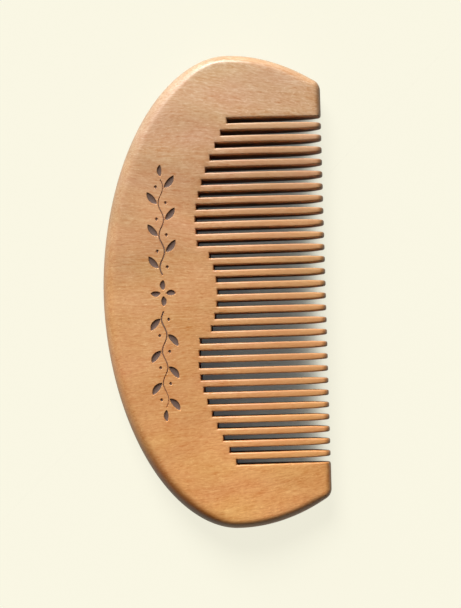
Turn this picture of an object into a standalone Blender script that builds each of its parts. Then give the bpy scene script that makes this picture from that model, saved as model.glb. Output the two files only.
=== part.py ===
# Half-moon pocket comb, sawn and sanded out of one wooden board.
#
# The comb lies flat on its underside. X runs from the spine to the tooth tips, Y along the
# comb's length and Z up. The origin is the middle of the comb's box, on the surface it lies on.
# The wood is one piece. Its solid is divided at flat planes inside the wood into a back, two
# end guards and the teeth, which meet the back face to face.

import math

import bmesh
import bpy

# Blank, in metres
comb_length = 0.115
spine_reach = 0.0315
tooth_reach = 0.0228
shoulder_reach = 0.046
board_thickness = 0.010
edge_width = 0.0028
edge_drop = 0.0042
spine_power = 1.94
shoulder_power = 2.0

# Wedge that the tooth side is planed to
taper_length = 0.0225
tip_thickness = 0.0057

# Saw slots
saw_kerf = 0.0013
tooth_pitch = 0.00295
end_guard_width = 0.01555
end_slot_depth = 0.02285
deepest_slot_depth = 0.0312
lobe_inner_depth = 0.0306
arch_outer_depth = 0.0286
arch_middle_depth = 0.0263
lobe_middle_share = 0.43
arch_edge_share = 0.25
lobe_power = 1.55
arch_power = 2.0

# Teeth
tooth_ease = 0.00028
point_length = 0.0036
point_width = 0.00134
tip_round = 0.0023
tip_plan_round = 0.0007
tip_width = 0.00065
tip_round_steps = 4

# End guards, whose corner in plan is a little larger than the rounded edge that runs round it
corner_core = 0.0002
guard_corner = edge_width + corner_core
guard_corner_steps = 8
touch_rounds = 20
guard_slope_steps = 14

# Facets of the spine and of its rounded edge
spine_steps = 76
edge_steps = 5

# Wood, from the pale end of the board to the warm end, as linear colours
pale_wood = (0.66, 0.42, 0.24)
warm_wood = (0.72, 0.35, 0.13)
wood_roughness = 0.42
wood_metallic = 0.0

# Places worked out from the sizes above
comb_width = spine_reach + tooth_reach
tip_x = comb_width / 2
spine_x = -comb_width / 2
widest_x = tip_x - tooth_reach
taper_x = tip_x - taper_length
half_length = comb_length / 2
middle_z = board_thickness / 2

slot_span = comb_length - 2 * end_guard_width - saw_kerf
tooth_count = round(slot_span / tooth_pitch)
true_pitch = slot_span / tooth_count


def half_length_at(x):
    """Half the blank's length at x: a superellipse on either side of the widest line."""
    reach = shoulder_reach if x > widest_x else spine_reach
    power = shoulder_power if x > widest_x else spine_power
    share = min(abs(x - widest_x) / reach, 1.0)
    return half_length * (1.0 - share ** power) ** (1.0 / power)


def half_thickness_at(x):
    """Half the board's thickness at x: full over the back, a straight wedge to the tips."""
    share = max(x - taper_x, 0.0) / taper_length
    return (board_thickness + (tip_thickness - board_thickness) * share) / 2


def slot_depth(y):
    """Depth of a slot from the tip line: a low arch in the middle between two deeper lobes."""
    share = abs(y) / (slot_span / 2)
    if share < arch_edge_share:
        rise = (share / arch_edge_share) ** arch_power
        return arch_middle_depth + (arch_outer_depth - arch_middle_depth) * rise
    if share < lobe_middle_share:
        fall = ((lobe_middle_share - share) / (lobe_middle_share - arch_edge_share)) ** arch_power
        return deepest_slot_depth + (lobe_inner_depth - deepest_slot_depth) * fall
    fall = ((share - lobe_middle_share) / (1.0 - lobe_middle_share)) ** lobe_power
    return deepest_slot_depth + (end_slot_depth - deepest_slot_depth) * fall


# Slots run from the +Y end to the -Y end, and tooth i lies between slots i and i + 1
slot_y = [slot_span / 2 - true_pitch * i for i in range(tooth_count + 1)]
root_x = [tip_x - slot_depth(y) for y in slot_y]
butt_x = [max(root_x[i], root_x[i + 1]) for i in range(tooth_count)]
guard_x = [root_x[0], root_x[-1]]


def clear_scene():
    """Start from an empty scene."""
    for old in list(bpy.data.objects):
        bpy.data.objects.remove(old, do_unlink=True)


def wood_material(name, y):
    """Wood for one node, a little warmer towards the -Y end of the board."""
    share = 0.5 - y / comb_length
    colour = [pale + (warm - pale) * share for pale, warm in zip(pale_wood, warm_wood)]
    material = bpy.data.materials.new(name + "_wood")
    material.use_nodes = True
    shader = material.node_tree.nodes["Principled BSDF"]
    shader.inputs["Base Color"].default_value = (*colour, 1.0)
    shader.inputs["Roughness"].default_value = wood_roughness
    shader.inputs["Metallic"].default_value = wood_metallic
    return material


def add_node(name, bm, y):
    """Turn a bmesh into a named object with its own wood."""
    bmesh.ops.recalc_face_normals(bm, faces=bm.faces)
    mesh = bpy.data.meshes.new(name)
    bm.to_mesh(mesh)
    bm.free()
    mesh.materials.append(wood_material(name, y))
    mesh.shade_smooth()
    mesh.set_sharp_from_angle(angle=math.radians(30))
    node = bpy.data.objects.new(name, mesh)
    bpy.context.scene.collection.objects.link(node)
    return node


def plate(outline, rounded):
    """A plate over an outline, with the edges along the marked outline points rounded.
    The plate is made thin, given a round bevel, and stretched, as the edge drops more than its width."""
    stretch = edge_drop / edge_width
    bm = bmesh.new()
    low = [bm.verts.new((x, y, 0)) for x, y in outline]
    high = [bm.verts.new((x, y, board_thickness / stretch)) for x, y in outline]
    bm.faces.new(reversed(low))
    bm.faces.new(high)
    count = len(outline)
    for i in range(count):
        j = (i + 1) % count
        bm.faces.new((low[i], low[j], high[j], high[i]))
    edges = []
    for i in rounded:
        j = (i + 1) % count
        edges.append(bm.edges.get((low[i], low[j])))
        edges.append(bm.edges.get((high[i], high[j])))
    bm.normal_update()
    bmesh.ops.bevel(
        bm, geom=edges, offset=edge_width, segments=edge_steps, profile=0.5,
        affect="EDGES", clamp_overlap=False)
    for vert in bm.verts:
        vert.co.z *= stretch
    return bm


def plane_to_wedge(bm):
    """Crease the plate where the wedge starts, and thin it evenly from both faces."""
    bmesh.ops.bisect_plane(
        bm, geom=bm.verts[:] + bm.edges[:] + bm.faces[:],
        plane_co=(taper_x, 0, 0), plane_no=(1, 0, 0))
    for vert in bm.verts:
        share = half_thickness_at(vert.co.x) / middle_z
        vert.co.z = middle_z + (vert.co.z - middle_z) * share


def spine_curve(x_end):
    """Points round the spine, from the +Y end to the -Y end, both on the plane x_end."""
    points = []
    for i in range(spine_steps + 1):
        angle = math.pi * i / spine_steps
        x = x_end[0] if i * 2 < spine_steps else x_end[1]
        x = x - (x - spine_x) * math.sin(angle)
        side = 1 if i * 2 < spine_steps else -1
        points.append((x, side * half_length_at(x)))
    return points


def add_back():
    """The half-moon back, with a step for every slot root and tooth."""
    spine = spine_curve(guard_x)
    stairs = []
    half_kerf = saw_kerf / 2
    for i in range(tooth_count, -1, -1):
        stairs.append((root_x[i], slot_y[i] - half_kerf))
        stairs.append((root_x[i], slot_y[i] + half_kerf))
        if i > 0:
            stairs.append((butt_x[i - 1], slot_y[i] + half_kerf))
            stairs.append((butt_x[i - 1], slot_y[i - 1] - half_kerf))
    steps = [p for p, q in zip(stairs, [None] + stairs[:-1]) if p != q]
    bm = plate(spine + steps, range(spine_steps))
    plane_to_wedge(bm)
    return add_node("back", bm, 0)


def slope_angle_at(x):
    """Angle in plan between a guard's slope and the comb's cross line, zero at the widest line."""
    share = (x - widest_x) / shoulder_reach
    fall = half_length / shoulder_reach * share ** (shoulder_power - 1.0)
    return math.atan(fall * (1.0 - share ** shoulder_power) ** (1.0 / shoulder_power - 1.0))


def guard_outline(x_start):
    """A guard at the +Y end: its slot wall, tip edge, rounded corner and slope."""
    corner_x = tip_x - guard_corner
    # The corner's circle touches the tip line, and it touches the slope where their normals agree
    touch_x = corner_x
    for _ in range(touch_rounds):
        touch_x = corner_x + guard_corner * math.sin(slope_angle_at(touch_x))
    touch_angle = slope_angle_at(touch_x)
    corner_y = half_length_at(touch_x) - guard_corner * math.cos(touch_angle)
    wall_y = slot_y[0] + saw_kerf / 2
    points = [(x_start, wall_y), (tip_x, wall_y)]
    for i in range(guard_corner_steps + 1):
        angle = (math.pi / 2 - touch_angle) * i / guard_corner_steps
        x = corner_x + guard_corner * math.cos(angle)
        y = corner_y + guard_corner * math.sin(angle)
        points.append((x, y))
    for i in range(1, guard_slope_steps + 1):
        x = touch_x + (x_start - touch_x) * i / guard_slope_steps
        points.append((x, half_length_at(x)))
    return points


def add_guard(name, side):
    """One end guard. Side is 1 at the +Y end and -1 at the -Y end."""
    outline = guard_outline(guard_x[0] if side > 0 else guard_x[1])
    rounded = range(1, len(outline) - 1)
    bm = plate(outline, rounded)
    plane_to_wedge(bm)
    if side < 0:
        for vert in bm.verts:
            vert.co.y = -vert.co.y
        bmesh.ops.reverse_faces(bm, faces=bm.faces)
    return add_node(name, bm, side * (half_length - end_guard_width / 2))


def tooth_half_width(x):
    """Half a tooth's width at x: as sawn, then ground to a point, then rounded at the tip."""
    sawn = (true_pitch - saw_kerf) / 2
    share = min(max(x - (tip_x - point_length), 0.0) / (point_length - tip_plan_round), 1.0)
    half = sawn + (point_width / 2 - sawn) * share
    over = max(x - (tip_x - tip_plan_round), 0.0) / tip_plan_round
    return half - (point_width - tip_width) / 2 * (1.0 - math.sqrt(max(1.0 - over * over, 0.0)))


def tooth_half_height(x):
    """Half a tooth's height at x: the wedge, with its two corners at the tip rounded."""
    over = max(x - (tip_x - tip_round), 0.0)
    return half_thickness_at(x) - tip_round + math.sqrt(max(tip_round * tip_round - over * over, 0.0))


def tooth_section(x):
    """The eight corners of a tooth's section at x: a rectangle with eased edges."""
    wide = tooth_half_width(x)
    high = tooth_half_height(x)
    ease = min(tooth_ease, wide / 2, high / 2)
    quarter = [(wide, high - ease), (wide - ease, high)]
    ring = quarter + [(-y, z) for y, z in reversed(quarter)]
    return ring + [(-y, -z) for y, z in ring]


def add_tooth(index):
    """One tooth, lofted from its butt plane to its rounded tip."""
    start = butt_x[index]
    y = (slot_y[index] + slot_y[index + 1]) / 2
    stations = [start] + [x for x in (taper_x, tip_x - point_length) if x > start]
    for i in range(tip_round_steps + 1):
        angle = math.pi / 2 * i / tip_round_steps
        stations.append(tip_x - tip_round + tip_round * math.sin(angle))
    bm = bmesh.new()
    rings = []
    for x in stations:
        rings.append([bm.verts.new((x, y + dy, middle_z + dz)) for dy, dz in tooth_section(x)])
    for near, far in zip(rings[:-1], rings[1:]):
        for i in range(len(near)):
            j = (i + 1) % len(near)
            bm.faces.new((near[i], far[i], far[j], near[j]))
    bm.faces.new(rings[0])
    bm.faces.new(reversed(rings[-1]))
    return add_node("tooth_%02d" % (index + 1), bm, y)


clear_scene()
add_back()
add_guard("end_guard_1", 1)
add_guard("end_guard_2", -1)
for tooth in range(tooth_count):
    add_tooth(tooth)
print("comb", comb_length, "by", comb_width, "by", board_thickness, "with", tooth_count, "teeth")
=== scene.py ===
# %% [markdown]
# A half-moon pocket comb is sawn and sanded out of one wooden board. Its plain solids are made
# already, and this lesson dresses them: it works out the wood's fine surface, its finish, the
# floor, the light and the camera. The solids are loaded first and never moved, because whatever
# is placed in their frame needs no fitting afterwards.

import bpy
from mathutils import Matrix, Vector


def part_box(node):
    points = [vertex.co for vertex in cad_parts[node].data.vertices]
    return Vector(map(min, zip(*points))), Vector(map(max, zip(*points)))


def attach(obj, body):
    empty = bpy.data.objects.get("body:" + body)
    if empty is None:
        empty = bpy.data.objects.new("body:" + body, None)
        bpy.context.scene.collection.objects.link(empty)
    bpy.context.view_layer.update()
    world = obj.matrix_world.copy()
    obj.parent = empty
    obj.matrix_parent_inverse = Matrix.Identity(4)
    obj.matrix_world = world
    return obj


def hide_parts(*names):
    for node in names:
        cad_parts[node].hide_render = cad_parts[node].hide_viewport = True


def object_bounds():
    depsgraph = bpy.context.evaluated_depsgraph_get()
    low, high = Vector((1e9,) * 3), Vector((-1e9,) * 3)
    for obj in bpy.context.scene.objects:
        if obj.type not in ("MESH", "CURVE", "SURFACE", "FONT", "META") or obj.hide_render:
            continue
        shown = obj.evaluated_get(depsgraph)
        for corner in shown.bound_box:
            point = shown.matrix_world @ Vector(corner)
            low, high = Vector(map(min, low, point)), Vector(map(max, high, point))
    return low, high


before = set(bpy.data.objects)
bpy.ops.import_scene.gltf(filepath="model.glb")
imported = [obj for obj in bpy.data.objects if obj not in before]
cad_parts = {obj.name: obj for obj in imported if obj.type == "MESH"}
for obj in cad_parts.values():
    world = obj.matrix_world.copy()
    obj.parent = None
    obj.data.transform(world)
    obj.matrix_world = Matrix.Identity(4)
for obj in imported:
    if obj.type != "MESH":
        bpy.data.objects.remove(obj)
cad_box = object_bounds()
print(len(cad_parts), "plain solids")

# %% [markdown]
# Lengths are in metres, and MM turns a size in millimetres into metres. X runs from the spine to
# the tooth tips, Y along the comb and Z up out of the table. The comb's outer sizes are read from
# the solids' box, so that the dressed comb can't differ from it.

# %% Units and the comb's box
import math

import bpy
import numpy as np
from mathutils import Matrix, Vector
from mathutils.geometry import delaunay_2d_cdt

MM = 0.001
low, high = (np.array(corner) for corner in cad_box)
spine_x, tip_x = low[0], high[0]
half_length = (high[1] - low[1]) / 2
board = high[2] - low[2]
middle_z = (low[2] + high[2]) / 2
print("comb box in mm", np.round((high - low) / MM, 1))

# %% [markdown]
# The teeth and slots are read from the frame, so they stay where the solids have them. A tooth's
# box gives its place and its sawn width. The wall of an end guard gives the outer slot's edge,
# and the back's own corners give how deep each slot is cut.

# %% Teeth from the frame
tooth_names = sorted(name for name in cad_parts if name.startswith("tooth_"))
tooth_boxes = np.array([[list(corner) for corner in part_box(name)] for name in tooth_names])
tooth_y = tooth_boxes[:, :, 1].mean(axis=1)
sawn_width = (tooth_boxes[:, 1, 1] - tooth_boxes[:, 0, 1]).max()
pitch = abs(np.diff(tooth_y)).mean()
kerf = pitch - sawn_width
wall_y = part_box("end_guard_1")[0].y
slot_y = np.append(tooth_y + pitch / 2, tooth_y[-1] - pitch / 2)
print(len(tooth_names), "teeth, pitch", round(pitch / MM, 3), "mm, kerf", round(kerf / MM, 3), "mm")

# %% Slots from the frame
corner_reach = kerf * 0.6
spine_share = 0.3


def slot_roots():
    """X of every slot's root: the least X of the back's corners that lie on that slot's edges, or
    where the slot ends on the plane that its teeth start from, that plane."""
    starts = tooth_boxes[:, 0, 0]
    plane = np.minimum(np.append(starts, starts[-1]), np.append(starts[0], starts))
    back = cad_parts["back"].data.vertices
    corners = np.empty(len(back) * 3, np.float32)
    back.foreach_get("co", corners)
    corner_x, corner_y = corners.reshape(-1, 3)[:, :2].astype(float).T
    near = np.abs(corner_y[None, :] - slot_y[:, None]) < corner_reach
    inner = corner_x[None, :] > spine_x + (tip_x - spine_x) * spine_share
    return np.minimum(np.where(near & inner, corner_x[None, :], tip_x).min(axis=1), plane)


root_x = slot_roots()
print("slot depths in mm", np.round((tip_x - root_x) / MM, 1))

# %% [markdown]
# Seen from above, the blank is two curves that share their ends: a superellipse round the spine,
# and a longer ellipse along the guards' slopes. A hand-drawn spline could follow the photograph
# too, but a formula needs only two reaches and two powers, and whole arrays go through it.

# %% The blank's plan
tooth_reach = 22.8 * MM
shoulder_reach = 46.0 * MM
spine_power = 1.94
shoulder_power = 2.0
widest_x = tip_x - tooth_reach
spine_reach = widest_x - spine_x


def half_length_at(x):
    """Half the comb's length at x: (1 - share ** power) ** (1 / power) of half the whole length,
    where share is the distance from the widest line over the reach on that side."""
    reach = np.where(x > widest_x, shoulder_reach, spine_reach)
    power = np.where(x > widest_x, shoulder_power, spine_power)
    share = np.clip(np.abs(x - widest_x) / reach, 0, 1)
    return half_length * (1 - share ** power) ** (1 / power)


print("half length in mm at the tips", round(float(half_length_at(tip_x)) / MM, 2))

# %% [markdown]
# The board is full thickness over the back, where the hand holds it, and is planed to a wedge
# over the teeth, which lets them part the hair. The plane starts gently: a parabola leads into
# the straight wedge, so that no ridge shows in a side light.

# %% The blank's thickness
taper_length = 22.5 * MM
tip_thickness = 5.7 * MM
taper_x = tip_x - taper_length
taper_blend = 0.5


def half_thickness_at(x):
    """Half the board at x: full, then falling along a parabola that runs into a straight wedge."""
    share = np.clip((x - taper_x) / taper_length, 0, 1)
    bent = np.where(share < taper_blend, share ** 2 / (2 * taper_blend), share - taper_blend / 2)
    return board / 2 - (board - tip_thickness) / 2 * bent / (1 - taper_blend / 2)


print("thickness in mm at the tips", round(float(half_thickness_at(tip_x)) * 2 / MM, 2))

# %% [markdown]
# A tooth keeps its sawn width almost to its tip. The last few millimetres are ground narrower on
# a wheel, and the very end is rounded, so that it doesn't scratch the scalp. One function of X
# serves both sides of all the teeth.

# %% A tooth's width
point_length = 3.6 * MM
point_width = 1.34 * MM
end_round = 0.7 * MM
end_width = 0.65 * MM


def tooth_half_width(x):
    """Half a tooth's width at x: sawn, then a straight taper, then a quarter of an ellipse."""
    taper = np.clip((x - tip_x + point_length) / (point_length - end_round), 0, 1)
    over = np.clip((x - tip_x + end_round) / end_round, 0, 1)
    half = (sawn_width + (point_width - sawn_width) * taper) / 2
    return half - (point_width - end_width) / 2 * (1 - np.sqrt(1 - over ** 2))


last = np.array([4.0, 2.0, 1.0, 0.3, 0.0])
print("at", last, "mm from its tip a tooth is", np.round(tooth_half_width(tip_x - last * MM) * 2 / MM, 2))

# %% [markdown]
# A tooth is covered by rows of points across it. All teeth share the places of these rows, so
# both walls of a slot match. The rows stand a millimetre apart along the shaft, which is straight,
# and crowd round the tip, where the shape turns.

# %% Stations along a tooth
tip_span = 3.0 * MM
shaft_steps, tip_steps = 32, 12
root_gap, shaft_gap = 0.35 * MM, 0.70 * MM


def stations(root):
    """X of the points along one slot wall: the root, a place just past it, then the shared ones,
    which end with tip_span times the sines of even angles."""
    shaft = tip_x - tip_span - np.arange(shaft_steps, 0, -1) * MM
    turn = np.linspace(0, np.pi / 2, tip_steps)
    shared = np.concatenate([shaft, tip_x - tip_span * (1 - np.sin(turn))])
    return np.concatenate([[root, root + root_gap], shared[shared > root + shaft_gap]])


print(len(stations(root_x.min())), "stations along the longest tooth")

# %% [markdown]
# The comb's whole edge, seen from above, is one closed line: round the outside from one guard's
# tip to the other's, then in and out of every slot. It could be cut with Booleans, but a line
# that is worked out keeps its points where the rounded edges need them.

# %% An arc, and the slope's angle


def arc(x, y, radius, start, stop, steps):
    """Points on a circle round (x, y), from one angle to another."""
    angle = np.linspace(start, stop, steps)
    return np.stack([x + radius * np.cos(angle), y + radius * np.sin(angle)], axis=1)


def slope_angle_at(x):
    """Angle of the guard's slope in plan at x, from the slope of the ellipse."""
    share = (x - widest_x) / shoulder_reach
    return math.atan(half_length / shoulder_reach * share / math.sqrt(1 - share ** 2))


print("a guard slopes by", round(math.degrees(slope_angle_at(tip_x)), 1), "degrees at its tip")

# %% The outer edge
guard_corner = 3.0 * MM
inner_corner = 0.5 * MM
corner_steps, straight_steps, bend_steps, slope_steps, spine_steps = 7, 12, 14, 48, 130
touch_rounds = 20


def outer_edge():
    """The edge from one guard's inner corner round the spine to the other's: a small corner, the
    straight tip edge, a corner of constant radius, the slope and half the spine, then mirrored.
    The large corner touches the slope where both have one angle, which a few rounds find."""
    corner_x = tip_x - guard_corner
    touch_x = corner_x
    for _ in range(touch_rounds):
        touch_x = corner_x + guard_corner * math.sin(slope_angle_at(touch_x))
    turn = slope_angle_at(touch_x)
    corner_y = float(half_length_at(np.array(touch_x))) - guard_corner * math.cos(turn)
    small = arc(tip_x - inner_corner, wall_y + inner_corner, inner_corner, -np.pi / 2, 0, corner_steps)
    straight_y = np.linspace(small[-1, 1], corner_y, straight_steps)
    straight = np.stack([np.full(straight_steps, tip_x), straight_y], axis=1)
    large = arc(corner_x, corner_y, guard_corner, 0, np.pi / 2 - turn, bend_steps)
    slope_x = np.linspace(touch_x, widest_x, slope_steps)
    slope = np.stack([slope_x, half_length_at(slope_x)], axis=1)
    turn = np.linspace(0, np.pi / 2, spine_steps)
    spine = np.stack([widest_x - spine_reach * np.sin(turn) ** (2 / spine_power),
                      half_length * np.cos(turn) ** (2 / spine_power)], axis=1)
    upper = np.concatenate([small, straight[1:], large[1:], slope[1:], spine[1:-1]])
    middle = np.array([[spine_x, 0.0]])
    return np.concatenate([upper, middle, upper[::-1] * [1, -1]])


outside = outer_edge()
print(len(outside), "points round the outside")

# %% [markdown]
# A slot is one pass of a thin saw, and its two sides belong to two different teeth. The edge goes
# in along one tooth, across the root and out along the next, so that neighbours share their
# points and the finished wall has no seam.

# %% The slots' edges
hair = 0.02 * MM
across_steps, end_steps = 5, 4


def between(start, stop, steps):
    """The points between two ends, without the ends, at even steps."""
    return np.linspace(start, stop, steps + 1)[1:-1]


def side(tooth, x, sign):
    """One side of a tooth, or of the guard past the last tooth, as points along x."""
    if tooth < 0 or tooth >= len(tooth_y):
        x = x[x <= tip_x - inner_corner - hair]
        return np.stack([x, np.full(len(x), -sign * wall_y)], axis=1)
    return np.stack([x, tooth_y[tooth] + sign * tooth_half_width(x)], axis=1)


def slot_edge(slot):
    """One slot: in along the tooth below it, across its root, and out along the tooth above."""
    x = stations(root_x[slot])
    into = side(slot, x[::-1], 1)
    out = side(slot - 1, x, -1)
    return np.concatenate([into, between(into[-1], out[0], across_steps), out])


slots = [slot_edge(slot) for slot in range(len(slot_y))]
tooth_ends = [between(slots[i + 1][-1], slots[i][0], end_steps) for i in range(len(tooth_y))]
print(sum(len(slot) for slot in slots), "points along the slots")

# %% [markdown]
# All sharp edges of a real comb are broken: the blank's rim is rounded over with a router, and
# the slots' edges are eased by tumbling. Both are a drop of the surface that depends on how far
# a point lies from that edge in plan, so two distance fields give the whole relief.

# %% Distance to a line
block = 100
least_run = 1e-18


def distance(points, line, closed=False):
    """Least distance from each point to a line of straight runs: the point is projected on each
    run, the projection is kept within its ends, and the shortest way is taken."""
    starts = line if closed else line[:-1]
    run = (np.roll(line, -1, axis=0) if closed else line[1:]) - starts
    squared = (run ** 2).sum(axis=1) + least_run
    least = np.full(len(points), np.inf)
    for first in range(0, len(starts), block):
        part = slice(first, first + block)
        offset = points[:, None, :] - starts[None, part, :]
        along = np.clip((offset * run[part]).sum(axis=2) / squared[part], 0, 1)
        gap = offset - along[:, :, None] * run[None, part, :]
        least = np.minimum(least, np.sqrt((gap ** 2).sum(axis=2)).min(axis=1))
    return least


print("from a line's own point", distance(outside[:1], outside)[0])

# %% [markdown]
# The rim and the slots need fields of their own, because they are rounded by different tools and
# to different widths. The rim's line runs straight across all the tips, as the blank's edge did
# before it was slotted. Each slot is measured only from the points beside it, which saves most
# of the work.

# %% Distance to the rim and to the slots
slot_sight = 1.5 * MM
rim_line = outside[corner_steps - 1:1 - corner_steps]
eased_lines = list(slots)
eased_lines[0] = np.concatenate([slots[0], outside[:corner_steps]])
eased_lines[-1] = np.concatenate([outside[-corner_steps:], slots[-1]])


def near_rim(points):
    """Distance to the outside edge, closed by a straight line across all the tips."""
    return distance(points, rim_line, closed=True)


def near_slot(points):
    """Distance to the nearest slot's edge, as far as slot_sight: each slot is measured only from
    the points beside it."""
    least = np.full(len(points), slot_sight)
    for y, x, slot in zip(slot_y, root_x, eased_lines):
        beside = (np.abs(points[:, 1] - y) < kerf + slot_sight) & (points[:, 0] > x - slot_sight)
        if beside.any():
            least[beside] = np.minimum(least[beside], distance(points[beside], slot))
    return least


print("the comb's middle is", np.round(near_rim(np.zeros((1, 2))) / MM, 1), "mm from the rim's line")

# %% [markdown]
# A comb like this carries a shallow ornament along its back, burnt in with a laser. Here it is a
# sprig: a wavy stem with leaves and berries by turns, mirrored about a small flower. A painted
# pattern would stay flat in a side light, so every shape is a closed line that is really sunk in.
# Each outline can be grown by a margin, which gives the lines that the sunk walls need.

# %% A leaf and a stem
leaf_points, stem_points = 28, 90
leaf_power = 1.4
leaf_stretch = 1.8
leaf_curve = 0.05
stem_start, stem_end = 4.3 * MM, 27.6 * MM
stem_swing = 0.60 * MM
stem_waves = 3.0
stem_width = 0.50 * MM
stem_thinning = 0.35


def almond(along, across, angle, size, grow):
    """A leaf's outline: a long ellipse whose half width is the sine's power 1.4, so that it comes
    to a point at both ends, a little curved, turned by angle degrees and grown by a margin."""
    turn = np.linspace(0, 2 * np.pi, leaf_points, endpoint=False)
    length, width = size[0] / 2 + grow * leaf_stretch, size[1] / 2 + grow
    side = np.sign(np.sin(turn)) * np.abs(np.sin(turn)) ** leaf_power * width
    run = np.cos(turn) * length
    side = side + leaf_curve * size[0] * (1 - (run / length) ** 2) * math.copysign(1, angle)
    around = math.radians(angle)
    return np.stack([along + run * math.cos(around) - side * math.sin(around),
                     across + run * math.sin(around) + side * math.cos(around)], axis=1)


def stem(grow):
    """The stem's outline: a sine wave carried along, with a width that thins to its end."""
    run = np.linspace(stem_start - grow, stem_end + grow, stem_points)
    phase = 2 * np.pi * stem_waves * (run - stem_start) / (stem_end - stem_start)
    middle = np.stack([run, stem_swing * np.sin(phase)], axis=1)
    step = np.gradient(middle, axis=0)
    normal = np.stack([-step[:, 1], step[:, 0]], axis=1) / np.linalg.norm(step, axis=1)[:, None]
    share = np.clip((run - stem_start) / (stem_end - stem_start), 0, 1)
    half = (stem_width * (1 - stem_thinning * share) / 2 + grow)[:, None]
    return np.concatenate([middle - normal * half, (middle + normal * half)[::-1]])


print("a stem of", round((stem_end - stem_start) / MM, 1), "mm")

# %% [markdown]
# An engraver sets a leaf where the stem bends away from it. So leaves and berries take their
# places from the bends, and one half is drawn and mirrored, which keeps both halves alike.

# %% The whole sprig
sprig_x = -12.2 * MM
bend_count = 6
leaf_size, leaf_angle = (3.9 * MM, 1.65 * MM), 40
leaf_place = (1.30 * MM, 2.10 * MM)
berry_size, berry_place = (0.95 * MM, 0.95 * MM), (0.15 * MM, 1.15 * MM)
end_leaf_size, end_leaf_place = (3.0 * MM, 1.3 * MM), 2.05 * MM
petal_size = (2.6 * MM, 1.5 * MM)
petals = ((0, 1.95 * MM), (90, 1.85 * MM), (180, 1.95 * MM), (270, 1.85 * MM))


def sprig(grow):
    """Every outline of the sprig, grown by a margin: at each bend of the stem a leaf on its outer
    side and a berry on the other, a leaf at its end, all mirrored, and four petals."""
    shapes = [stem(grow)]
    bends = stem_start + (np.arange(bend_count) + 0.5) * (stem_end - stem_start) / bend_count
    for i, bend in enumerate(bends):
        side = 1 if i % 2 == 0 else -1
        shapes.append(almond(bend + leaf_place[0], side * leaf_place[1], side * leaf_angle, leaf_size, grow))
        shapes.append(almond(bend + berry_place[0], -side * berry_place[1], 90.0, berry_size, grow))
    shapes.append(almond(stem_end + end_leaf_place, 0.0, 0.0, end_leaf_size, grow))
    shapes = shapes + [shape * [-1, 1] for shape in shapes]
    for angle, reach in petals:
        around = math.radians(angle)
        shapes.append(almond(reach * math.cos(around), reach * math.sin(around), float(angle),
                             petal_size, grow))
    return [np.stack([sprig_x - shape[:, 1], shape[:, 0]], axis=1) for shape in shapes]


burn_shapes = sprig(0.0)
stems = (0, 2 * bend_count + 2)
print(len(burn_shapes), "shapes in the sprig, of which the stems are", stems)

# %% [markdown]
# The laser leaves a steep wall and a floor that is a little hollow. So the depth depends only on
# how far inside an outline a point lies, and that is the distance to the outline, with a sign
# that says on which side of it the point is.

# %% How far inside the sprig
sprig_sight = 1.0 * MM


def inside(points, loop):
    """True where a line from the point to +X crosses the loop an odd number of times."""
    crossings = np.zeros(len(points), int)
    across, along = points[:, :1], points[:, 1:]
    ends = np.roll(loop, -1, axis=0)
    for first in range(0, len(loop), block):
        (ax, ay), (bx, by) = loop[first:first + block].T, ends[first:first + block].T
        rise = np.where(by != ay, by - ay, 1.0)
        spans = (ay > along) != (by > along)
        crossings += (spans & (across < ax + (along - ay) * (bx - ax) / rise)).sum(axis=1)
    return crossings % 2 == 1


def into_sprig(points):
    """How far each point lies inside the nearest outline of the sprig: less than 0 outside it."""
    deep = np.full(len(points), -sprig_sight)
    for shape in burn_shapes:
        lowest, highest = shape.min(axis=0) - sprig_sight, shape.max(axis=0) + sprig_sight
        box = np.all((points > lowest) & (points < highest), axis=1)
        if box.any():
            gap = distance(points[box], shape, closed=True)
            gap = np.where(inside(points[box], shape), gap, -gap)
            deep[box] = np.maximum(deep[box], gap)
    return deep


petal_middles = np.array([[sprig_x, reach] for angle, reach in petals[:1]])
print("a petal's middle is", np.round(into_sprig(petal_middles) / MM, 2), "mm inside")

# %% [markdown]
# A real burnt groove isn't cut square: light falls into it and catches its far wall. A steep
# slope takes most of the depth, and a shallow bowl the rest, so a leaf is shaded from one side to
# the other. The wall's foot and the bowl's foot get lines of points of their own later.

# %% Depth of the sprig
burn_depth = 0.38 * MM
burn_slope = 0.14 * MM
bowl_reach = 0.40 * MM
bowl_share = 0.35


def burnt_depth(deep):
    """How far the floor is burnt away: most of it down a steep wall, the rest as a shallow bowl
    that goes on falling until bowl_reach inside the outline."""
    bowl = np.clip((deep - burn_slope) / (bowl_reach - burn_slope), 0, 1)
    return burn_depth * ((1 - bowl_share) * np.clip(deep / burn_slope, 0, 1) + bowl_share * bowl)


print("depth in mm at the wall's foot", round(float(burnt_depth(burn_slope)) / MM, 2))

# %% [markdown]
# The relief is the height of the wood over every point of the plan. The rim of this comb is
# rounded far over: it drops most of the half board in little more than 3 mm along the spine, and
# is tighter round the ends. Each rounding is part of an ellipse, which leaves the flat without a
# crease and ends upright at the edge. A Bevel modifier could do one radius, but not one that
# changes along the edge, so the drop is worked out from the distances.

# %% How wide the roundings are
rim_width, end_rim_width = 3.3 * MM, 2.25 * MM
rim_turn = (-9 * MM, 2 * MM)
slot_ease, tip_ease = 0.34 * MM, 0.40 * MM
ease_growth = 8.0 * MM


def smooth_step(share):
    """0 up to share 0 and 1 from share 1, and 3 share squared less 2 share cubed between."""
    share = np.clip(share, 0, 1)
    return share * share * (3 - 2 * share)


def toward_tip(x, span):
    """0 up to span before the tips, then rising smoothly to 1 at the tips."""
    return smooth_step((x - tip_x + span) / span)


def along_spine(x):
    """1 along the middle of the spine, falling smoothly to 0 round the ends and the guards."""
    return smooth_step((rim_turn[1] - x) / (rim_turn[1] - rim_turn[0]))


def rim_width_at(x):
    """Width of the rim's rounding in plan: broad on the spine and tighter round the ends."""
    return end_rim_width + (rim_width - end_rim_width) * along_spine(x)


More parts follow.
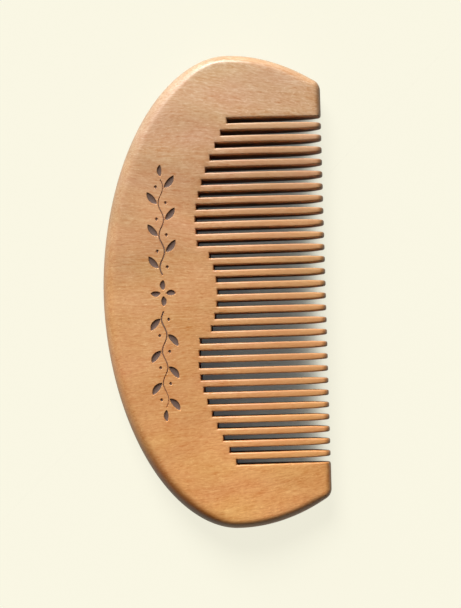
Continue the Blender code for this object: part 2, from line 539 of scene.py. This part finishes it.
def ease_width_at(points):
    """Width of the slots' eased edge: wider towards a tooth's tip, and even on the guards."""
    tooth = np.abs(points[:, 1]) < wall_y - kerf / 2
    return slot_ease + (tip_ease - slot_ease) * toward_tip(points[:, 0], ease_growth) * tooth


print("rim width in mm at the spine and the tips", np.round(rim_width_at(np.array([spine_x, tip_x])) / MM, 2))

# %% [markdown]
# With the widths known, the surface is the wedge less two drops. Each drop is kept a little under
# the half board that is left, so that top and bottom never meet and the edge keeps a thin wall.
# The tips are rounded more on top than below, as on a comb that is sanded from one side.

# %% The relief
rim_drop, end_rim_drop = 4.6 * MM, 4.0 * MM
tip_width, tip_round, tip_zone = 1.3 * MM, 1.9 * MM, 5.0 * MM
tip_ease_drop = 0.60 * MM
rim_most, ease_most = 0.93, 0.72
round_power, under_bevel = 2.0, 0.6


def roundover(share, power):
    """Drop of a rounded edge at share of its width: 1 at the edge, 0 where it runs out."""
    inward = 1 - np.clip(share, 0, 1)
    return 1 - (1 - inward ** power) ** (1 / power)


def relief(points, under):
    """Height of the surface above the middle, or below it where under is 1: the wedge, less the
    roundings of the rim and the slots. The underside of the tips is ground flatter than the top."""
    x = points[:, 0]
    rim, slot = near_rim(points), near_slot(points)
    half = half_thickness_at(x)
    tip = toward_tip(x, tip_zone)
    width = rim_width_at(x)
    width = width + (tip_width + (tip_span - tip_width) * under - width) * tip
    depth = end_rim_drop + (rim_drop - end_rim_drop) * along_spine(x)
    depth = np.minimum(depth + (tip_round - depth) * tip, rim_most * half)
    half = half - depth * roundover(rim / width, round_power - under_bevel * tip * under)
    ease = ease_width_at(points)
    grown = (ease - slot_ease) / (tip_ease - slot_ease)
    drop = np.minimum(slot_ease + (tip_ease_drop - slot_ease) * grown, ease_most * half)
    return half - drop * roundover(slot / ease, round_power), slot


probe = np.stack([np.full(5, spine_x), np.zeros(5)], axis=1) + np.outer([0, 0.5, 1, 2, 4], [MM, 0])
print("height in mm, from the spine's edge inwards", np.round(relief(probe, 0)[0] / MM, 2))

# %% [markdown]
# The top is a sheet of triangles over the plan. Its points are chosen: rows beside every edge,
# closer where the rounding is steep, and a plain lattice over the flat. A grid alone would cut
# across the edges and leave the roundings ragged.

# %% The whole edge and its normals


def inward_normals(loop):
    """Normals of a closed line that runs counterclockwise, pointing into the wood."""
    run = np.roll(loop, -1, axis=0) - np.roll(loop, 1, axis=0)
    normal = np.stack([-run[:, 1], run[:, 0]], axis=1)
    return normal / np.linalg.norm(normal, axis=1)[:, None]


def whole_edge():
    """The comb's closed edge, counterclockwise, and whether each point is on a slot."""
    parts, on_slot = [outside], [np.zeros(len(outside), bool)]
    for slot in range(len(slots) - 1, -1, -1):
        parts.append(slots[slot])
        on_slot.append(np.ones(len(slots[slot]), bool))
        if slot > 0:
            parts.append(tooth_ends[slot - 1])
            on_slot.append(np.zeros(len(tooth_ends[slot - 1]), bool))
    return np.concatenate(parts), np.concatenate(on_slot)


edge, edge_on_slot = whole_edge()
edge_normals = inward_normals(edge)
print(len(edge), "edge points, of which", edge_on_slot.sum(), "are on slots")

# %% Rows beside the edge
rim_steps, ease_steps = 9, 4


def quarter_turn(steps):
    """The even angles of a quarter circle, without its start."""
    return np.linspace(0, np.pi / 2, steps + 1)[1:]


def rows_beside(loop, normals, width, steps):
    """Rows of points inside an edge, at the distances where a quarter circle turns evenly."""
    width = np.broadcast_to(width, len(loop))[:, None]
    return np.concatenate([loop + normals * width * (1 - math.cos(angle)) for angle in quarter_turn(steps)])


rim_span = rim_width_at(outside[:, 0])
rim_rows = rows_beside(outside, inward_normals(outside), rim_span, rim_steps)
ease_edge, ease_normals = edge[edge_on_slot], edge_normals[edge_on_slot]
ease_width = ease_width_at(ease_edge)
ease_rows = rows_beside(ease_edge, ease_normals, ease_width, ease_steps)
print(len(rim_rows), "rim points", len(ease_rows), "eased points")

# %% [markdown]
# The teeth are so narrow that rows from both of their sides would meet. They get rows of their
# own, across every station, with one point in the middle. The two corners of a slot's root get
# small fans, and the flat of the back gets a lattice.

# %% Points on the teeth
least_across = 0.04 * MM
same_point = 8
tooth_start = np.maximum(root_x[:-1], root_x[1:])


def tooth_rows(steps):
    """Points over the teeth: at every station, rows in from both sides and one in the middle.
    Points that agree to same_point decimals are one."""
    grids = []
    for start, y in zip(tooth_start, tooth_y):
        x = stations(start)
        x = x[x < tip_x - hair / 2]
        inset = ease_width_at(np.stack([x, x * 0], axis=1))[:, None] * (1 - np.cos(quarter_turn(steps)))
        across = tooth_half_width(x)[:, None] - inset
        across = np.where(across > least_across, across, 0)
        across = np.concatenate([across, -across, across[:, :1] * 0], axis=1)
        grid = np.stack([np.broadcast_to(x[:, None], across.shape), across + y], axis=2)
        grids.append(np.unique(np.round(grid.reshape(-1, 2), same_point), axis=0))
    return np.concatenate(grids)


teeth_rows = tooth_rows(ease_steps)
print(len(teeth_rows), "points on the teeth")

# %% Fans round the roots, and a lattice on the flat
fan_points = 5
lattice_step = 1.6 * MM


def corner_fans(steps):
    """Points round the two corners of every root, so that the eased edge turns them smoothly."""
    reach = slot_ease * (1 - np.cos(quarter_turn(steps)))
    around = np.linspace(np.pi / 2, np.pi, fan_points)
    fan = np.stack([np.outer(reach, np.cos(around)), np.outer(reach, np.sin(around))], axis=2)
    fan = fan.reshape(-1, 2)
    upper = np.stack([root_x, slot_y + kerf / 2], axis=1)
    lower = np.stack([root_x, slot_y - kerf / 2], axis=1)
    return np.concatenate([(upper[:, None] + fan).reshape(-1, 2),
                           (lower[:, None] + fan * [1, -1]).reshape(-1, 2)])


def lattice(step):
    """A lattice of points over the comb's box, each second row moved half a step."""
    x, y = np.meshgrid(np.arange(spine_x, tip_x, step), np.arange(-half_length, half_length, step))
    x = x + (np.arange(len(x)) % 2)[:, None] * step / 2
    return np.stack([x.ravel(), y.ravel()], axis=1)


fans = corner_fans(ease_steps)
flat = lattice(lattice_step)
print(len(fans), "points round the roots", len(flat), "in the lattice")

# %% [markdown]
# Where two edges come close, their rows would cross and leave slivers. So a point is kept only if
# its own edge is the nearest one, which the same distances tell.

# %% Points that are kept
own_rim, own_ease = 0.97, 0.9
rim_off_slot, flat_off_slot, flat_off_rim = 1.3, 2, 1.1
ease_off_rim = 0.03 * MM


def on_a_tooth(points):
    """True for points on a tooth's shaft or tip, past both of its slots' roots."""
    index = np.clip(np.round((tooth_y[0] - points[:, 1]) / pitch).astype(int), 0, len(tooth_y) - 1)
    return (np.abs(points[:, 1]) < wall_y) & (points[:, 0] > tooth_start[index] - hair)


def meant_distance(width, steps):
    """How far from its own edge each point of the rows was put."""
    return np.tile(width, steps) * np.repeat(1 - np.cos(quarter_turn(steps)), len(width))


def kept(points, rim_gap, slot_gap):
    """The points that are further than rim_gap from the rim and than slot_gap from the slots."""
    return points[(near_rim(points) > rim_gap) & (near_slot(points) > slot_gap)]


rim_kept = kept(rim_rows, meant_distance(rim_span, rim_steps) * own_rim, slot_ease * rim_off_slot)
ease_kept = kept(ease_rows, ease_off_rim, meant_distance(ease_width, ease_steps) * own_ease)
flat_kept = kept(flat, rim_width_at(flat[:, 0]) * flat_off_rim, slot_ease * flat_off_slot)
rest = np.concatenate([rim_kept, ease_kept, flat_kept, fans])
chosen = np.concatenate([rest[~on_a_tooth(rest)], teeth_rows])
chosen = chosen[inside(chosen, edge)]
print(len(chosen), "points kept")

# %% [markdown]
# Blender's constrained Delaunay triangulation joins the points, and keeps every run of the comb's
# edge and of the sprig's outlines. The sprig has four lines to a leaf: just outside it, its edge,
# the foot of its wall and the foot of its bowl. The stem is too thin for a bowl.

# %% The sheet of triangles
burn_margin = 0.05 * MM
burn_clear = 0.3 * MM
merge_distance = 1e-7
inside_only = 1


def triangulate(loops, points):
    """The sheet's points and its triangles, counterclockwise, with every loop's runs kept."""
    runs, first = [], 0
    for loop in loops:
        index = np.arange(len(loop))
        runs.append(first + np.stack([index, (index + 1) % len(loop)], axis=1))
        first += len(loop)
    corners = np.concatenate(loops + [points]).tolist()
    sheet = delaunay_2d_cdt(corners, np.concatenate(runs).tolist(), [], inside_only, merge_distance)
    plan, faces = np.array(sheet[0]), np.array(sheet[2])
    a, b, c = (plan[faces[:, i]] for i in range(3))
    area = (b[:, 0] - a[:, 0]) * (c[:, 1] - a[:, 1]) - (b[:, 1] - a[:, 1]) * (c[:, 0] - a[:, 0])
    faces[area < 0] = faces[area < 0][:, ::-1]
    return plan, faces


bowls = [shape for i, shape in enumerate(sprig(-bowl_reach)) if i not in stems]
loops = [edge] + sprig(burn_margin) + burn_shapes + sprig(-burn_slope) + bowls
plan, sheet_faces = triangulate(loops, chosen[into_sprig(chosen) < -burn_clear])
print(len(plan), "points in the sheet and", len(sheet_faces), "triangles")

# %% [markdown]
# The same sheet serves twice: lifted by the relief it is the top, and mirrored it is the bottom,
# which has no sprig. The border of the sheet, which is the comb's edge, is joined down the side by
# rows of quads. They are closer near the top and bottom, where the sawn wall meets the eased edge.

# %% Top, bottom and the wall between them
wall_levels = (0.03, 0.12, 0.35, 0.65, 0.88, 0.97)


def border(faces, count):
    """Directed edges that only one triangle has: they are the sheet's border."""
    runs = np.concatenate([faces[:, [0, 1]], faces[:, [1, 2]], faces[:, [2, 0]]])
    forward = runs[:, 0] * count + runs[:, 1]
    backward = runs[:, 1] * count + runs[:, 0]
    return runs[~np.isin(forward, backward)]


half, slot_gap = relief(plan, 0)
deep = into_sprig(plan)
top = np.column_stack([plan, middle_z + (half - burnt_depth(deep))])
bottom = np.column_stack([plan, middle_z - relief(plan, 1)[0]])
count = len(plan)
runs = border(sheet_faces, count)
ring = np.unique(runs)
ring_place = np.full(count, -1)
ring_place[ring] = np.arange(len(ring))
levels = [top[ring] * (1 - share) + bottom[ring] * share for share in wall_levels]
print(len(ring), "points round the border, on", len(levels), "levels")

# %% [markdown]
# A surface without gaps needs faces that share their points, not faces that only touch. So all
# levels are stacked in one array, and a face is three or four places in it. The bottom's
# triangles are turned round, which makes every face look outwards.

# %% One closed surface


def at_level(k, which):
    """Indices of the edge's points at level k, from the top sheet, 0, down to the bottom."""
    if k == 0:
        return which
    if k > len(wall_levels):
        return which + count
    return 2 * count + (k - 1) * len(ring) + ring_place[which]


points = np.concatenate([top, bottom] + levels)
triangles = np.concatenate([sheet_faces, sheet_faces[:, ::-1] + count])
quads = np.concatenate([
    np.stack([at_level(k, runs[:, 0]), at_level(k + 1, runs[:, 0]),
              at_level(k + 1, runs[:, 1]), at_level(k, runs[:, 1])], axis=1)
    for k in range(len(wall_levels) + 1)])
print(len(points), "points", len(triangles), "triangles", len(quads), "quads")

# %% [markdown]
# The rim's colour carries painted light and shade. The lower spine, which faces away from the
# light, is darkened most as painted shade, and the rest of the rim a little; the upper spine,
# which faces the light, is made paler and whiter as a painted highlight; the very tips are darker.
# Each is a number from 0 to 1 at every point. It could be painted on an image, but an attribute
# needs no unwrapping and rides on the points themselves.

# %% Where the rim is darker and paler
rim_paint_depth = (1.3 * MM, 3.8 * MM)
rim_shade_even, tip_darkening = 0.05, 0.50
shade_y, shade_x = (-25 * MM, -50 * MM), (5 * MM, -3 * MM)
highlight_y, highlight_x = (0.0, 20 * MM), (12 * MM, 0.0)
tip_dark_span = (1.6 * MM, 0.3 * MM)


def smooth(values, start, stop):
    """0 at start and 1 at stop, along a smooth step."""
    return smooth_step((values - start) / (stop - start))


def at_rim(points):
    """1 from the rim to the first of the painted band's depths, falling smoothly to 0 at the second."""
    return smooth(near_rim(points), rim_paint_depth[1], rim_paint_depth[0])


def rim_shade_at(points):
    """How dark the rim is painted: a little all round, most on the lower spine as painted shade, and at the
    very tips.
    """
    shaded = smooth(points[:, 1], *shade_y) * smooth(points[:, 0], *shade_x)
    most = rim_shade_even + (1 - rim_shade_even) * shaded
    tips = tip_darkening * smooth(points[:, 0], tip_x - tip_dark_span[0], tip_x - tip_dark_span[1])
    return at_rim(points) * most + tips


def highlight_at(points):
    """How much paler and whiter the rim is painted along the upper spine, as a painted highlight."""
    return at_rim(points) * (smooth(points[:, 1], *highlight_y) * smooth(points[:, 0], *highlight_x))


stain, pale = rim_shade_at(plan), highlight_at(plan)
print("most stain", round(stain.max(), 2), "and most highlighted", round(pale.max(), 2))

# %% [markdown]
# The saw leaves the slots' walls rough, and their colour is made darker, partly for the sawn
# surface and partly as painted shade inside the narrow slots; the laser chars the sprig. Both are
# known from the making of the surface: a wall's points lie on a slot's edge, and a charred point
# lies inside an outline. Towards the tips, where the slots open out, the walls' darkening and
# roughness fade.

# %% Attributes for the finish
on_edge = 1e-6
saw_fade = 0.12
tip_fade, fade_span = 0.6, 6.0 * MM

none = np.zeros(count)
wall = (slot_gap[ring] < on_edge) * (1 - tip_fade * toward_tip(plan[ring, 0], fade_span))
sawn = [wall * min(1, share / saw_fade, (1 - share) / saw_fade) for share in wall_levels]
layers = {"sawn": [none, none] + sawn,
          "burnt": [np.clip(deep / burn_slope, 0, 1), none] + [none[ring]] * len(levels),
          "stain": [stain, stain] + [stain[ring]] * len(levels),
          "rim": [pale, pale] + [pale[ring]] * len(levels)}
layers = {name: np.concatenate(values) for name, values in layers.items()}
print("mean of each attribute", {name: round(values.mean(), 3) for name, values in layers.items()})

# %% [markdown]
# Blender takes whole arrays through foreach_set, which is far quicker than adding faces one by
# one. The object stays at the origin, unturned, so its Object coordinates are the comb's own.
# Shading is smooth, and split only where faces meet at more than 42 degrees, as in the sprig.

# %% Into Blender
crease_angle = 42


def add_mesh(name, points, triangles, quads):
    """A mesh object from whole arrays of points, triangles and quads, shaded smooth."""
    mesh = bpy.data.meshes.new(name)
    loops = np.concatenate([triangles.ravel(), quads.ravel()])
    starts = np.concatenate([np.arange(len(triangles)) * 3, len(triangles) * 3 + np.arange(len(quads)) * 4])
    mesh.vertices.add(len(points))
    mesh.vertices.foreach_set("co", points.ravel())
    mesh.loops.add(len(loops))
    mesh.loops.foreach_set("vertex_index", loops.astype(np.int32))
    mesh.polygons.add(len(starts))
    mesh.polygons.foreach_set("loop_start", starts.astype(np.int32))
    mesh.update(calc_edges=True)
    mesh.validate()
    mesh.shade_smooth()
    made = bpy.data.objects.new(name, mesh)
    bpy.context.scene.collection.objects.link(made)
    return made


comb = add_mesh("comb_wood", points, triangles, quads)
for name, values in layers.items():
    layer = comb.data.attributes.new(name, "FLOAT", "POINT")
    layer.data.foreach_set("value", values.astype(np.float32))
comb.data.set_sharp_from_angle(angle=math.radians(crease_angle))
print(comb.name, "has", len(comb.data.polygons), "faces and the attributes", list(layers))

# %% [markdown]
# A shader is a sum of small pictures: fibres, pores, broad drift of colour. Its nodes could be
# placed and linked one by one, but a sum is easier to read as a sum. So one class wraps a socket,
# and Python's operators on it add the Math nodes.

# %% Shader maths


class Wire:
    """A socket in a material's node tree, on which arithmetic makes Math nodes."""

    def __init__(self, tree, socket=None):
        self.tree = tree
        self.socket = socket

    def node(self, kind, settings, inputs, out=0):
        """Adds any node: first its settings, then the values or links of its sockets."""
        made = self.tree.nodes.new(kind)
        for key, value in settings.items():
            if key == "stops":
                while len(made.color_ramp.elements) < len(value):
                    made.color_ramp.elements.new(0.5)
                for stop, (place, colour) in zip(made.color_ramp.elements, value):
                    stop.position, stop.color = place, colour
            else:
                setattr(made, key, value)
        for key, value in inputs.items():
            if isinstance(value, Wire):
                self.tree.links.new(value.socket, made.inputs[key])
            else:
                made.inputs[key].default_value = value
        return Wire(self.tree, made.outputs[out]) if made.outputs else None

    def math(self, operation, first, second=0.0):
        """One Math node, for values."""
        return self.node("ShaderNodeMath", {"operation": operation}, {0: first, 1: second})

    def vector(self, operation, first, second):
        """One Vector Math node, for colours and places."""
        other = "Scale" if operation == "SCALE" else 1
        return self.node("ShaderNodeVectorMath", {"operation": operation}, {0: first, other: second})

    def attribute(self, name):
        """A number that the piece carries at its points."""
        return self.node("ShaderNodeAttribute", {"attribute_name": name}, {}, 2)

    def __add__(self, other):
        return self.math("ADD", self, other)

    def __radd__(self, other):
        return self.math("ADD", other, self)

    def __sub__(self, other):
        return self.math("SUBTRACT", self, other)

    def __rsub__(self, other):
        return self.math("SUBTRACT", other, self)

    def __mul__(self, other):
        return self.math("MULTIPLY", self, other)

    def __rmul__(self, other):
        return self.math("MULTIPLY", other, self)

    def ramp(self, start, stop):
        """0 below start, 1 above stop, smooth between."""
        return self.node("ShaderNodeMapRange", {"interpolation_type": "SMOOTHSTEP"},
                         {"Value": self, "From Min": start, "From Max": stop})

    def blend(self, first, second):
        """Two colours, mixed by this wire."""
        return self.node("ShaderNodeMix", {"data_type": "RGBA"}, {"Factor": self, 6: first, 7: second}, 2)


print("a wire can", [name for name in vars(Wire) if not name.startswith("_")])

# %% An empty material


def new_material(name):
    """An empty material, and a wire that adds nodes to it."""
    material = bpy.data.materials.new(name)
    material.use_nodes = True
    material.node_tree.nodes.clear()
    return material, Wire(material.node_tree)


wood, base = new_material("oiled_pear_wood")
print("an empty material", wood.name)

# %% [markdown]
# Fibres run along the teeth, but never dead straight. A slow noise bends them sideways, and they
# fan out a little towards the comb's ends. So every later pattern is read at a place that is
# first moved along Y. Patterns count in millimetres, which keeps their sizes easy to judge.

# %% How the fibres run
bend_cells, bend_reach = (0.05, 0.07, 0.07), 4.0
fan_out = 0.003


def noise(cells, detail, source):
    """Noise about 0, with so many cells to the millimetre along X, Y and Z."""
    point = base.vector("MULTIPLY", source, cells)
    return base.node("ShaderNodeTexNoise", {}, {"Vector": point, "Scale": 1.0, "Detail": detail}) - 0.5


place = base.node("ShaderNodeTexCoord", {}, {}, 3)
grid = base.vector("SCALE", place, 1 / MM)
x, y = (base.node("ShaderNodeSeparateXYZ", {}, {0: grid}, axis) for axis in (0, 1))
bend = noise(bend_cells, 1.0, grid)
across = base.node("ShaderNodeCombineXYZ", {}, {"Y": bend * bend_reach + x * y * fan_out})
bent = base.vector("ADD", grid, across)
print("fibres wander by up to", bend_reach / 2, "mm to each side")

# %% [markdown]
# Pear wood is fine and even. Noises that are stretched along the fibres give its streaks, short
# flecks, soft figure, a slow drift, and patches that are pinker or more golden. A photograph of
# wood would show more, but it would slide, repeat and end at the edges, and these run through the
# whole board.

# %% Streaks, flecks, figure, drift and patches
patterns = {"streaks": ((0.22, 2.5, 2.5), 1.0), "flecks": ((0.85, 3.2, 3.2), 1.0),
            "figure": ((0.09, 0.30, 0.30), 2.0), "drift": ((0.04, 0.09, 0.09), 2.0),
            "patch": ((0.05, 0.10, 0.10), 2.0)}
streaks, flecks, figure, drift, patch = (noise(*pattern, bent) for pattern in patterns.values())
print("cells to the millimetre, and detail", patterns)

# %% [markdown]
# A noise passes through its middle along thin wandering lines. Cut out narrowly, such lines are
# the wood's pale glints and its long dark fibres. Specks are the reverse: only the highest peaks
# of a fine noise are left. They could be drawn as curves, but the board would need thousands.

# %% Glints, fibres and specks
glint_cells, glint_width = (0.30, 1.20, 1.20), 0.035
fibre_cells, fibre_width = (0.11, 0.62, 0.62), 0.02
speck_cells, speck_edge = (2.4, 3.6, 3.6), (0.17, 0.30)


def lines(cells, width):
    """1 along thin wandering lines, where noise passes through its middle, 0 away from them."""
    far = base.math("ABSOLUTE", noise(cells, 1.0, bent))
    return 1 - far.ramp(0.0, width)


glints = lines(glint_cells, glint_width)
fibres = lines(fibre_cells, fibre_width)
specks = noise(speck_cells, 0.0, bent).ramp(*speck_edge)
print("pale glints, dark fibres and light specks: now", len(wood.node_tree.nodes), "nodes")

# %% [markdown]
# All patterns add up to one number about 0, which says how much lighter or darker the wood is.
# The back near the spine is a touch lighter, and the teeth are calmer, because a saw shows less
# of the figure on a strip so narrow.

# %% How light the wood is
streak_swing, fleck_swing, figure_swing, drift_swing = 0.44, 0.52, 0.24, 0.28
glint_swing, fibre_swing, speck_swing = 0.11, 0.10, 0.20
glint_mean, fibre_mean = 0.2, 0.1
spine_zone, spine_swing = (-22.0, -4.0), 0.045
teeth_zone, teeth_calm = (2.0, 10.0), 0.5

light = streaks * streak_swing + flecks * fleck_swing + figure * figure_swing + drift * drift_swing
light = light + (glints - glint_mean) * glint_swing - (fibres - fibre_mean) * fibre_swing
light = light + specks * speck_swing
light = light + (1 - x.ramp(*spine_zone)) * spine_swing
teeth = x.ramp(*teeth_zone) * (1 - base.math("ABSOLUTE", y).ramp(wall_y / MM - 1, wall_y / MM))
light = light * (1 - teeth * teeth_calm)
print("the teeth are calmed within", round(wall_y / MM, 1), "mm of the middle")

# %% [markdown]
# The board's own colour goes from a pale straw at one end to a warm orange at the other, so it is
# a ramp along Y, whose place drifts a little. The lightness then scales blue more than red, as
# real wood darkens to orange and not to grey, and the patches scale each colour their own way.

# %% The board's colour
board_tones = [(0.08, (0.715, 0.425, 0.230, 1)), (0.24, (0.570, 0.293, 0.138, 1)),
               (0.50, (0.685, 0.336, 0.133, 1)), (0.72, (0.672, 0.307, 0.109, 1)),
               (0.95, (0.780, 0.360, 0.116, 1))]
tone_drift = 0.45
swing_tone = (0.62, 1.40, 2.15)
patch_tone = (0.08, -0.12, 0.22)
rim_highlight_tone = (-0.05, 0.06, 0.20)

along = base.node("ShaderNodeSeparateXYZ", {}, {0: place}, 1)
down = along * (-1 / (2 * half_length)) + 0.5 + drift * tone_drift
colour = base.node("ShaderNodeValToRGB", {"stops": board_tones}, {0: down})
share = base.vector("ADD", base.vector("SCALE", swing_tone, light), (1, 1, 1))
share = base.vector("ADD", share, base.vector("SCALE", patch_tone, patch))
# Painted highlight: the rim along the upper spine, which faces the light, is made paler and whiter.
share = base.vector("ADD", share, base.vector("SCALE", rim_highlight_tone, base.attribute("rim")))
colour = base.vector("MULTIPLY", colour, share)
print(len(board_tones), "tones along the board")

# %% [markdown]
# On top of the wood's own colour lie painted shade and the marks of its making, each placed by
# its attribute: the rim is darkened as painted shade, most on the lower spine, and at the very
# tips; the slots' walls are made brown, partly for their sawn surface and partly as painted shade;
# and the laser chars the sprig's floor but spares the upper part of its walls.

# %% Painted shade on the rim, the saw and the laser
rim_shade_tone = (0.42, 0.27, 0.14)
sawn_shade_tone, sawn_shade_most = (0.50, 0.25, 0.11, 1), 0.75
tone_burnt, char_edge = (0.125, 0.068, 0.046, 1), (0.65, 1.0)

sawn_and_shaded, char = base.attribute("sawn"), base.attribute("burnt")
# Painted shade: the rim is darkened, most on the lower spine, which faces away from the light, and at the
# very tips.
rim_darkened = base.vector("MULTIPLY", colour, rim_shade_tone)
colour = base.attribute("stain").blend(colour, rim_darkened)
# Partly painted shade: the slots' walls are darkened toward brown, for their sawn surface and for the shade
# inside the narrow slots.
colour = (sawn_and_shaded * sawn_shade_most).blend(colour, sawn_shade_tone)
colour = char.ramp(*char_edge).blend(colour, tone_burnt)
# The oil named in this print is the rim's painted shade, and the saw's mark is partly painted shade.
print("marks of the oil, the saw and the laser: now", len(wood.node_tree.nodes), "nodes")

# %% [markdown]
# The finish is a thin lacquer, rubbed down until only a soft sheen is left. Its index of 1.65 is
# above that of plain oil, because the real rim shines strongly. The flecks and streaks stand in
# it as a faint bump, and where the saw or the laser has been it is rough.

# %% The wood's finish
lacquer_index = 1.65
rough_wood, rough_streaks, rough_sawn, rough_char = 0.38, 0.12, 0.3, 0.35
bump_streaks, bump_fibres = 0.3, 0.2
bump_strength, bump_height = 0.10, 0.05 * MM

height = flecks + streaks * bump_streaks - fibres * bump_fibres
bump = base.node("ShaderNodeBump", {},
                 {"Height": height, "Strength": bump_strength, "Distance": bump_height})
rough = rough_wood + streaks * rough_streaks + sawn_and_shaded * rough_sawn + char * rough_char
shader = base.node("ShaderNodeBsdfPrincipled", {}, {
    "Base Color": colour, "Roughness": rough, "Normal": bump, "IOR": lacquer_index})
base.node("ShaderNodeOutputMaterial", {}, {"Surface": shader})
comb.data.materials.append(wood)
print(wood.name, "has", len(wood.node_tree.nodes), "nodes")

# %% [markdown]
# The comb has no moving part, so its one surface rides on the one body. It stands for every plain
# solid, which stay in the physics model, where each tooth still needs a simple shape of its own.

# %% The dressed comb takes its place
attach(comb, "root")
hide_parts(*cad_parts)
print(comb.name, "replaces", len(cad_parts), "solids")

# %% [markdown]
# The photograph looks straight down from not far away, a little below the comb's middle, so the
# walls of the upper slots show. Its camera was found by fitting the tooth lines and the outline.
# Turning and shifting it by hand would do as well, but a fit can be repeated.

# %% Camera
image_height = 608
camera_turns = (math.radians(-0.125), math.radians(-2.001), math.radians(1.677))
camera_over = (3.60 * MM, -17.26 * MM)
camera_distance = 422.7 * MM
focal_pixels = 1708.8
shift_pixels = (1.6, 59.0)
sensor_width = 36.0
clip_near, clip_far = 10 * MM, 5.0


def add_camera():
    """A camera looking down -Z, turned by small angles and drawn back along its own axis."""
    turn = (Matrix.Rotation(camera_turns[2], 3, "Z") @ Matrix.Rotation(camera_turns[1], 3, "Y")
            @ Matrix.Rotation(camera_turns[0], 3, "X")).transposed()
    data = bpy.data.cameras.new("camera")
    data.sensor_width = sensor_width
    data.lens = focal_pixels / image_height * sensor_width
    data.shift_x = -shift_pixels[0] / image_height
    data.shift_y = shift_pixels[1] / image_height
    data.clip_start, data.clip_end = clip_near, clip_far
    camera = bpy.data.objects.new("camera", data)
    place = Vector((*camera_over, 0)) + turn @ Vector((0, 0, camera_distance))
    camera.matrix_world = Matrix.LocRotScale(place, turn.to_quaternion(), None)
    bpy.context.scene.collection.objects.link(camera)
    bpy.context.scene.camera = camera
    return camera


camera = add_camera()
print("camera at", [round(value / MM) for value in camera.matrix_world.translation], "mm")

# %% [markdown]
# The comb lies on a pale sheet. Product pictures light such a sheet from below or clean it
# afterwards, so it is bright right up to the comb and dark only inside the slots. Here most of
# the sheet's brightness is its own glow, which fades where little of the sky is open above it:
# Blender's Ambient Occlusion node measures that. The rest is plain paper, which keeps the comb's
# shadow. The light that it sends back up on the wood is kept low, so that the rim stays dark.

# %% The floor's paper
floor_tone = (0.956, 0.930, 0.776, 1)
bounce_tone = (0.16, 0.14, 0.12, 1)
shade_tone = (0.030, 0.030, 0.034, 1)
floor_glow = 0.88
glow_full, glow_unseen = 0.56, 0.7
glow_reach = 9 * MM


def paper_material():
    """Where the camera, a reflection or a view through glass sees it, the sheet mixes paper with
    a glow from dark to lit by how open the sky is. For all other light it is dim."""
    material, base = new_material("pale_paper")
    seen, glossy, through = (base.node("ShaderNodeLightPath", {}, {}, ray)
                             for ray in ("Is Camera Ray", "Is Glossy Ray", "Is Transmission Ray"))
    paper = base.node("ShaderNodeBsdfDiffuse", {}, {"Color": floor_tone})
    dim = base.node("ShaderNodeBsdfDiffuse", {}, {"Color": bounce_tone})
    either = base.math("MAXIMUM", base.math("MAXIMUM", seen, glossy), through)
    open_sky = base.node("ShaderNodeAmbientOcclusion", {}, {"Distance": glow_reach}, "AO")
    dark = base.node("ShaderNodeEmission", {}, {"Color": shade_tone, "Strength": 1.0})
    lit = base.node("ShaderNodeEmission", {}, {"Color": floor_tone, "Strength": 1.0})
    near = seen * open_sky.ramp(0.0, glow_full) + (1 - seen) * open_sky * glow_unseen
    glow = base.node("ShaderNodeMixShader", {}, {0: near, 1: dark, 2: lit})
    pale = base.node("ShaderNodeMixShader", {}, {0: floor_glow, 1: paper, 2: glow})
    sheet = base.node("ShaderNodeMixShader", {}, {0: either, 1: dim, 2: pale})
    base.node("ShaderNodeOutputMaterial", {}, {"Surface": sheet})
    return material


paper = paper_material()
print(paper.name, "has", len(paper.node_tree.nodes), "nodes")

# %% [markdown]
# The sheet is one plain quad, so large that its edge shows in no view. It lies a hair under the
# comb, because two surfaces at one height would flicker through each other.

# %% The floor
floor_size = 20.0
floor_gap = 0.05 * MM
floor_corners = np.array([[-1, -1, 0], [1, -1, 0], [1, 1, 0], [-1, 1, 0]]) * floor_size / 2.0
floor = add_mesh("floor", floor_corners - [0, 0, floor_gap], np.zeros((0, 3), int), np.array([[0, 1, 2, 3]]))
floor.data.materials.append(paper)
print("floor of", floor_size, "m")

# %% [markdown]
# One broad window high on the upper left lights the comb, and a lower, weaker one gives the rim
# its long highlight. Area lamps close by would do for one picture. Suns with a wide angle are such
# windows, far away, so both ends of the comb get the same light. Their strengths add up so that a
# flat white would render as white.

# %% Light
sky_strength = 0.02
key = {"azimuth": 104, "elevation": 40, "strength": 4.35, "spread": 30}
low_window = {"azimuth": 118, "elevation": 12, "strength": 0.90, "spread": 24}


def toward(azimuth, elevation):
    """A unit vector at an azimuth from +X, turning to +Y, and an elevation, both in degrees."""
    around, up = math.radians(azimuth), math.radians(elevation)
    return Vector((math.cos(around) * math.cos(up), math.sin(around) * math.cos(up), math.sin(up)))


def add_sun(name, azimuth, elevation, strength, spread):
    """A far lamp as wide as spread degrees in the sky, so that its shadows are soft. Returns the
    light that it throws on a level surface: strength times the sine of elevation, over pi."""
    data = bpy.data.lights.new(name, "SUN")
    data.energy = strength
    data.angle = math.radians(spread)
    lamp = bpy.data.objects.new(name, data)
    lamp.rotation_mode = "QUATERNION"
    lamp.rotation_quaternion = toward(azimuth, elevation).to_track_quat("Z", "Y")
    bpy.context.scene.collection.objects.link(lamp)
    return strength * math.sin(math.radians(elevation)) / math.pi


def add_sky():
    """Even white light from all round."""
    world = bpy.data.worlds.new("sky")
    world.use_nodes = True
    world.node_tree.nodes["Background"].inputs["Color"].default_value = (1, 1, 1, 1)
    world.node_tree.nodes["Background"].inputs["Strength"].default_value = sky_strength
    bpy.context.scene.world = world


add_sky()
flat_light = sky_strength + add_sun("key", **key) + add_sun("low", **low_window)
bpy.context.scene.view_settings.view_transform = "Standard"
print("light on a level surface", round(flat_light, 3))
